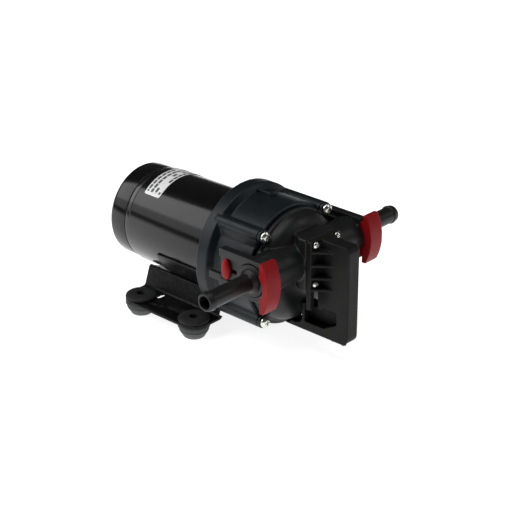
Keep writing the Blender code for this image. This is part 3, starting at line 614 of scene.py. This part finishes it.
SCREW_SQUARE = 33.5


def corners():
    half = SCREW_SQUARE
    return [(half, half), (-half, half), (-half, -half), (half, -half)]


BOSS_RADIUS, BOSS_FRONT = 5.3, 48.8
MOULDING_RATIO = 0.4


def across(side, a, b):
    """Two distances from the middle plane, as limits along y on the given side."""
    return tuple(sorted((side * a, side * b)))


def drive_housing():
    rear, ring_front, body_front = 0.9, 11.0, 47.0
    body = lathe([
        (body_front, 46.5), (14.2, 46.5), (ring_front, 52.0), (rear, 52.0), (rear, 12.0),
        (6.0, 12.0), (6.0, 39.4), (30.0, 39.4), (30.0, 42.2), (body_front, 42.2)], sides=128)
    add, cut = [], []
    for y, z in corners():
        add.append(rod(BOSS_RADIUS, 8.0, BOSS_FRONT, TURN_X, (0, y, z), 40))
        cut.append(rod(2.3, 27.0, 53.0, TURN_X, (0, y, z), 20))
    for side in (-1, 1):
        add.append(block((12, BOSS_FRONT - 0.2), across(side, SCREW_SQUARE, 38.6), (24.0, 30.4)))
    hook = [(12.8, 0.6), (26.4, 0.6), (26.4, 8.0), (24.6, 8.0), (24.6, 2.4), (12.8, 2.4)]
    cut.append(rod(43.9, 47.05, 62.0, TURN_X, (0, 0, 0), 128))
    for side in (-1, 1):
        cut.append(rod(2.1, 0.0, 8.0, TURN_X, (0, side * 22.0, 0), 20))
    shell = moulded(carve(body, add, cut), ratio=MOULDING_RATIO)
    mesh = carve(shell, [bevelled(prism(hook, "XY", 44.0, 49.0))])
    piece("drive_housing_visual", mesh, HOUSING, angle=50)


# ----------------------------------------------------------------------------- pump head

DOME_FRONT, DOME_RADIUS, DOME_SHOULDER, RIM_FRONT = 62.5, 41.5, 16.5, 50.6
PORT_X, PORT_Z, PORT_FACE = 60.0, 10.5, 56.25
COLLAR_BORE = 12.3
CLIP_MID, CLIP_TRAVEL, CLIP_TAB_X, BUTTON_X = 52.0, 7.0, 73.4, 35.4
CLIP_X, CLIP_Z = (33.5, 75.2), (-3.4, 24.0)


def pump_head():
    flat = DOME_RADIUS - DOME_SHOULDER
    shoulder = [(RIM_FRONT + (DOME_FRONT - RIM_FRONT) * math.cos(math.radians(6 * k)),
                 flat + DOME_SHOULDER * math.sin(math.radians(6 * k))) for k in range(16)]
    dome = lathe([(DOME_FRONT, 0)] + shoulder + [
        (RIM_FRONT, 43.6), (47.3, 43.6), (47.3, 41.7), (42.0, 41.7), (42.0, 14.5), (57.0, 14.5),
        (57.0, 0)], sides=128)
    add, cut = [], []
    for y, z in corners():
        add.append(rod(BOSS_RADIUS, 49.1, 51.5, TURN_X, (0, y, z), 40))
        cut.append(rod(2.3, 48.0, 54.0, TURN_X, (0, y, z), 20))
    tube = rod(14.5, -50.0, 50.0, TURN_MINUS_Y, (PORT_X, 0, PORT_Z), 64)
    tube = carve(tube, cut=[block((40, 47.6), (-46.8, 46.8), (-20, 40))])
    plan = soft([(55, -11, 0), (61, -11.5, 2.0), (68, -16, 2.0), (75, -16, 0), (75, 16, 0),
                 (68, 16, 2.0), (61, 11.5, 2.0), (55, 11, 0)])
    add += [tube, prism(plan, "XY", -8.0, 31.8)]
    hoods = []
    for side in (-1, 1):
        wall = block((29.2, 71.0), across(side, 47.2, 50.2), (-5.5, 22.0))
        wall_bore = rod(10.0, *across(side, 33, 65), TURN_PLUS_Y, (PORT_X, 0, PORT_Z), 48)
        add.append(wall)
        cut.append(wall_bore)
        hoods.append(port_hood(side))
    body = moulded(carve(dome, add, cut), ratio=MOULDING_RATIO)
    mesh = carve(body, hoods)
    piece("pump_head_visual", mesh, HEAD, angle=50)


def port_hood(side):
    """The front of one port block: a slot for the clip, a collar hole and a button recess."""
    hood = block((29.2, 71.0), across(side, 49.9, PORT_FACE), (-5.5, 26.0))
    tongue = block((17.5, 30.0), across(side, 51.5, 55.0), (-1.0, 4.6))
    slot = block((CLIP_X[0] - 0.3, 80), across(side, 50.2, 53.8),
                 (CLIP_Z[0] - 0.3, CLIP_Z[1] + 0.3))
    recess = block((28, PORT_X - 9), across(side, PORT_FACE - 1.6, 58), (2.7, 19.8))
    slit = block((BUTTON_X - 1.4, BUTTON_X + CLIP_TRAVEL + 1.8), across(side, CLIP_MID, 58),
                 (PORT_Z - 1.4, PORT_Z + 1.4))
    bore = rod(10.0, *across(side, 45, 58), TURN_PLUS_Y, (PORT_X, 0, PORT_Z), 48)
    collar = rod(COLLAR_BORE, *across(side, 52.0, 60.0), TURN_PLUS_Y, (PORT_X, 0, PORT_Z), 64)
    return moulded(carve(hood, [tongue], [slot, recess, slit, bore, collar]), 0.34, 3, 0.45)


def fitting(name, side):
    end = reach(f"{name}_fitting", 1)[1 if side > 0 else 0] * side
    turn = TURN_PLUS_Y if side > 0 else TURN_MINUS_Y
    collar = COLLAR_BORE - 0.4
    profile = soft([
        (end, 6.3, 1.2), (end - 5.0, 7.3, 0.8), (end - 5.6, 6.4, 0.2), (61.6, 6.4, 3.0),
        (58.5, 9.0, 0.6), (57.2, 9.0, 0.4), (57.2, collar, 0.6), (54.2, collar, 0.4),
        (54.2, 8.0, 0.2), (49.8, 8.0, 0.2), (49.8, 9.6, 0.4), (42.4, 9.6, 0.2),
        (42.4, 7.6, 0.2), (38.8, 7.6, 0.2), (38.8, 9.6, 0.2), (33.0, 9.6, 0.6),
        (33.0, 4.8, 0.4), (end, 4.8, 0.5)])
    mesh = lathe(profile, turn, (PORT_X, 0, PORT_Z), 64)
    piece(f"{name}_fitting_visual", mesh, NYLON, f"{name}_hose_tail")


def slide_clip(name, side):
    release = (PORT_X - CLIP_TRAVEL, PORT_Z)
    wide, narrow = 10.4, 8.4
    throat = math.degrees(math.asin(narrow / wide))
    keyhole = arc(release, wide, throat, 360 - throat, 36)
    keyhole += arc((PORT_X, PORT_Z), narrow, -90, 90, 20)
    low, high = across(side, CLIP_MID - 1.5, CLIP_MID + 1.5)
    plate = prism(rectangle(CLIP_X, CLIP_Z, 1.0), "XZ", low, high)
    hole = prism(keyhole, "XZ", low - 1, high + 1)
    front = arc((PORT_X - 17.6, PORT_Z), 39.3, -28.9, 28.9, 24)
    notch = arc((PORT_X + 3.6, PORT_Z), 12.6, 44, -44, 18)
    tab = front + [(CLIP_TAB_X, PORT_Z + 19.0), (CLIP_TAB_X, PORT_Z + 11.5)] + notch + [
        (CLIP_TAB_X, PORT_Z - 11.5), (CLIP_TAB_X, PORT_Z - 19.0)]
    tab = prism(tab, "XZ", *across(side, 49.4, 63.0))
    neck = block((BUTTON_X - 1.1, BUTTON_X + 1.5), across(side, CLIP_MID, PORT_FACE),
                 (PORT_Z - 1.1, PORT_Z + 1.1))
    gap = block((BUTTON_X + 2.0, PORT_X - 15), (low - 1, high + 1), (PORT_Z - 1.9, PORT_Z + 1.9))
    mesh = moulded(carve(carve(plate, cut=[hole, gap]), [tab, neck, oval_button(side)]), 0.36, 3,
                   0.6)
    piece(f"{name}_clip_visual", mesh, RED, f"{name}_slide", angle=0)


def oval_button(side):
    """A domed oval finger button."""
    dome = lathe([(58.5, 0), (58.4, 1.4), (58.0, 2.5), (57.2, 3.4), (56.2, 3.9), (54.9, 3.9),
                  (54.9, 0)], TURN_PLUS_Y if side > 0 else TURN_MINUS_Y, sides=48)
    dome.transform(Matrix.Diagonal((1.0, 1.0, 8.2 / 3.9, 1.0)))
    dome.transform(Matrix.Translation((BUTTON_X, 0, PORT_Z + 0.8)))
    return dome


# ------------------------------------------------------------------------ pressure switch

FLANGE = (75.3, 79.7)
BOX_FRONT, BOX_TOP, BOX_FOOT, BOX_HALF = 106.0, 31.0, -46.0, 5.8
PLUNGER_Z = 5.0


def box_outline(inset):
    """The cavity of the switch box, seen from the side."""
    front, top, foot = BOX_FRONT - inset, BOX_TOP - inset, BOX_FOOT + inset
    return soft([(front, top, 4.0), (front, foot, 6.0 - inset), (FLANGE[1] + 2.4, foot, 0.5),
                 (FLANGE[1] + 2.4, top, 0.5)])


def switch_screw_places():
    return [(y, z) for z in (28.6, -1.8) for y in (-11.5, 11.5)]


def switch_housing():
    arm = soft([(47.4, BOX_FOOT, 0.6), (66.0, BOX_FOOT, 0), (66.0, -36.0, 0), (63.2, -38.0, 0),
                (61.0, -41.0, 2.0), (57.0, -42.0, 1.0), (51.9, -42.0, 0.6), (51.9, -44.1, 0.3),
                (47.4, -44.1, 0.3)])
    arm = prism(arm, "XZ", -BOX_HALF, BOX_HALF)
    shell = soft([(BOX_FRONT, BOX_TOP, 5.0), (BOX_FRONT, BOX_FOOT, 6.0), (63.0, BOX_FOOT, 0.5),
                  (63.0, -24.0, 1.2), (FLANGE[1] - 2, -24.0, 0.8), (FLANGE[1] - 2, BOX_TOP, 0.5)],
                 steps=6)
    body = bevelled(prism(shell, "XZ", -BOX_HALF, BOX_HALF), 3.0, 5, 60)
    add = [arm, prism(rectangle((-16, 16), (-8.0, 31.8), 2.0), "YZ", *FLANGE)]
    for side in (-1, 1):
        add.append(block((FLANGE[0] + 0.1, FLANGE[1] - 0.1), across(side, 11.5, 15.8), (-22, -6)))
    gusset = [(FLANGE[1] - 1, -15.6), (FLANGE[1] - 1, 15.6), (FLANGE[1] + 0.4, 15.6),
              (92.0, 5.6), (92.0, -5.6), (FLANGE[1] + 0.4, -15.6)]
    for z in (23.5, 13.2, 3.3, -5.7):
        add.append(prism(gusset, "XY", z - 0.9, z + 0.9))
    solid = carve(body, add, [prism(box_outline(1.8), "XZ", 1.8 - BOX_HALF, BOX_HALF + 1.0)])
    recess = soft([(65.5, -24.5, 1.5), (81.5, -24.5, 1.0), (84.0, -22.0, 1.0), (95.6, -22.0, 1.5),
                   (95.6, -32.0, 2.0), (83.6, -38.6, 2.0), (65.5, -38.6, 1.5)])
    cut = [prism(recess, "XZ", -BOX_HALF - 1, 2.2),
           rod(7.2, 73.4, 77.4, TURN_X, (0, 0, PLUNGER_Z), 40),
           rod(4.2, 74.4, 81.4, TURN_X, (0, 0, PLUNGER_Z), 32),
           rod(2.3, 76.5, 84.5, TURN_X, (0, 0, PLUNGER_Z), 24)]
    solid = carve(solid, [block((81.5, 97.6), (-4.4, 4.0), (-41.0, -20.0))], cut)
    piece("switch_housing_visual", moulded(solid, 0.45, 3), SWITCH, angle=0)
    cover = bevelled(prism(box_outline(2.2), "XZ", BOX_HALF - 1.4, BOX_HALF), 0.4)
    piece("switch_cover_visual", cover, SWITCH)


def pan_screw(radius, height, shank, length):
    return soft([(height, 0, 0), (height, radius * 0.55, radius * 0.5),
                 (height * 0.45, radius, radius * 0.3), (0, radius, 0.2), (0, shank, 0),
                 (-length, shank, 0.3), (-length, 0, 0)], closed=False)


def screws():
    sets = [("head_screw", corners(), 51.9, (4.5, 3.0, 1.95, 22.0), (5.0, 1.0, 1.4)),
            ("switch_screw", switch_screw_places(), FLANGE[1] + 0.3, (2.7, 2.2, 1.5, 13.0),
             (3.4, 0.8, 1.0))]
    for name, places, x, size, (long, wide, deep) in sets:
        for index, (y, z) in enumerate(places):
            body = lathe(pan_screw(*size), TURN_X, (x, y, z), 40)
            top = x + size[1]
            slots = [block((top - deep, top + 1), (y - a / 2, y + a / 2), (z - b / 2, z + b / 2))
                     for a, b in ((long, wide), (wide, long))]
            mesh = bevelled(carve(body, cut=slots), 0.12, 1)
            piece(f"{name}_{index + 1}_visual", mesh, STEEL)


def glands():
    for name in ("supply", "motor"):
        node = f"{name}_cable_gland"
        low, high = reach(node, 0)
        top = reach(node, 2)[1]
        profile = soft([(0, 2.6, 0.3), (-0.6, 2.6, 0.1), (-0.6, 1.6, 0), (-3.0, 1.6, 0.1),
                        (-3.0, 2.3, 0.2), (-5.5, 1.9, 0.3), (-5.5, 0.7, 0.2), (0, 0.7, 0.2)])
        mesh = lathe(profile, TURN_Z, ((low + high) / 2, 0, top), 32)
        piece(f"{node}_visual", mesh, RUBBER)


# ---------------------------------------------------------------------------------- base

PLATE_TOP, PLATE_SHEET = -48.6, 1.8
FEET_X, FEET_Y = (-66.0, -9.0), 45.0
SADDLE_RADIUS, SLOT_Y = 40.6, 34.2


def strip(line, half):
    """A closed outline of constant thickness about an open line."""
    left, right = [], []
    for index, (u, v) in enumerate(line):
        here = Vector((u, v))
        before = Vector(line[max(index - 1, 0)])
        after = Vector(line[min(index + 1, len(line) - 1)])
        first = (here - before).normalized() if index else (after - here).normalized()
        second = (after - here).normalized() if index < len(line) - 1 else first
        normal = Vector((-(first.y + second.y), first.x + second.x))
        scale = half / (normal.x * -first.y + normal.y * first.x)
        left.append((u + normal.x * scale, v + normal.y * scale))
        right.append((u - normal.x * scale, v - normal.y * scale))
    return left + right[::-1]


def base_bracket():
    half = PLATE_SHEET / 2
    start = math.degrees(math.atan2(22.9, 33.4))
    wing = arc((0, 0), SADDLE_RADIUS, -90 + start, -90, 9)
    level = PLATE_TOP - half
    right = [(57.0, level, 0), (28.5, level, 3.0), wing[0] + (2.5,)] + [p + (0,) for p in wing[1:]]
    line = right + [(-u, v, r) for u, v, r in reversed(right[:-1])]
    line = soft(line, closed=False, steps=5)
    sheet = prism(strip(line, half), "YZ", -78.5, 3.5)
    plan = rectangle((-78.5, 3.5), (-57.0, 57.0), 12.5, 12)
    cut = [block((0.3, 9), (-29.0, 29.0), (PLATE_TOP + 0.2, -25))]
    for x in FEET_X:
        for side in (-1, 1):
            cut.append(rod(7.0, PLATE_TOP - 4, PLATE_TOP + 4, TURN_Z, (x, side * FEET_Y, 0), 40))
    for side in (-1, 1):
        slot = rectangle((-57.7, -53.3), (side * SLOT_Y - 4.5, side * SLOT_Y + 4.5), 2.1)
        cut.append(prism(slot, "XY", PLATE_TOP - 4, PLATE_TOP + 4))
    mesh = carve(sheet, cut=cut, keep=[prism(plan, "XY", -80, -20)])
    piece("base_bracket_visual", bevelled(mesh, 0.35, 2), BRACKET)
    low, high = reach("motor_saddle", 0)
    band = arc((0, 0), 39.4, -162, -18, 73) + arc((0, 0), CAN_RADIUS + 0.3, -18, -162, 73)
    saddle = prism(band, "YZ", low, high)
    piece("motor_saddle_visual", bevelled(saddle, 0.3, 2), BRACKET)


def rubber_feet():
    names = {"rear_near": (0, -1), "rear_far": (0, 1), "front_near": (1, -1),
             "front_far": (1, 1)}
    under, over = PLATE_TOP - PLATE_SHEET - 0.3, PLATE_TOP + 0.3
    bottom = -AXIS / MM
    for name, (index, side) in names.items():
        profile = soft([
            (-45.4, 8.8, 1.0), (-46.2, 11.6, 1.2), (over, 12.4, 0.6), (over, 6.5, 0.1),
            (under, 6.5, 0.1), (under, 12.2, 0.5), (-53.4, 12.2, 0.8), (-54.0, 11.0, 0.4),
            (-55.4, 10.9, 0.4), (-55.8, 11.3, 0.5), (-57.6, 10.4, 0.5), (-58.0, 9.7, 0.3),
            (-59.2, 9.4, 0.3), (bottom, 8.0, 1.0), (bottom, 3.4, 0.3), (-45.4, 3.4, 0.6)])
        mesh = lathe(profile, TURN_Z, (FEET_X[index], side * FEET_Y, 0), 72)
        piece(f"rubber_foot_{name}_visual", mesh, RUBBER)


# ----------------------------------------------------------------------- carried-over CAD

INNER = {
    "armature_core": LAMINATED, "armature_winding": COPPER, "commutator": COPPER,
    "motor_shaft": GROUND, "wobble_hub": GROUND, "wobble_bearing": STEEL,
    "rear_bearing": STEEL, "front_bearing": STEEL, "motor_front_plate": CAST,
    "motor_screw_1": STEEL, "motor_screw_2": STEEL, "magnet_near": FERRITE,
    "magnet_far": FERRITE, "brush_holder": WHITE, "brush_upper": CARBON, "brush_lower": CARBON,
    "diaphragm": RUBBER, "valve_plate": WHITE, "wobble_plate": WHITE, "head_seal": RUBBER,
    "inlet_o_ring": RUBBER, "outlet_o_ring": RUBBER, "outlet_valve": RUBBER,
    "inlet_valve_1": RUBBER, "inlet_valve_2": RUBBER, "inlet_valve_3": RUBBER,
    "inlet_valve_4": RUBBER, "inlet_valve_5": RUBBER, "switch_diaphragm": RUBBER,
    "switch_plunger": WHITE, "switch_spring": GROUND, "microswitch": SWITCH,
}


def carried_over():
    for name, finish in INNER.items():
        slots = NODES[name].data.materials
        slots.clear()
        slots.append(finish)


camera()
studio()
motor()
rating_label()
drive_housing()
pump_head()
for port, direction in (("inlet", -1), ("outlet", 1)):
    fitting(port, direction)
    slide_clip(port, direction)
switch_housing()
screws()
glands()
base_bracket()
rubber_feet()
carried_over()
bpy.data.collections.remove(WORKSHOP)
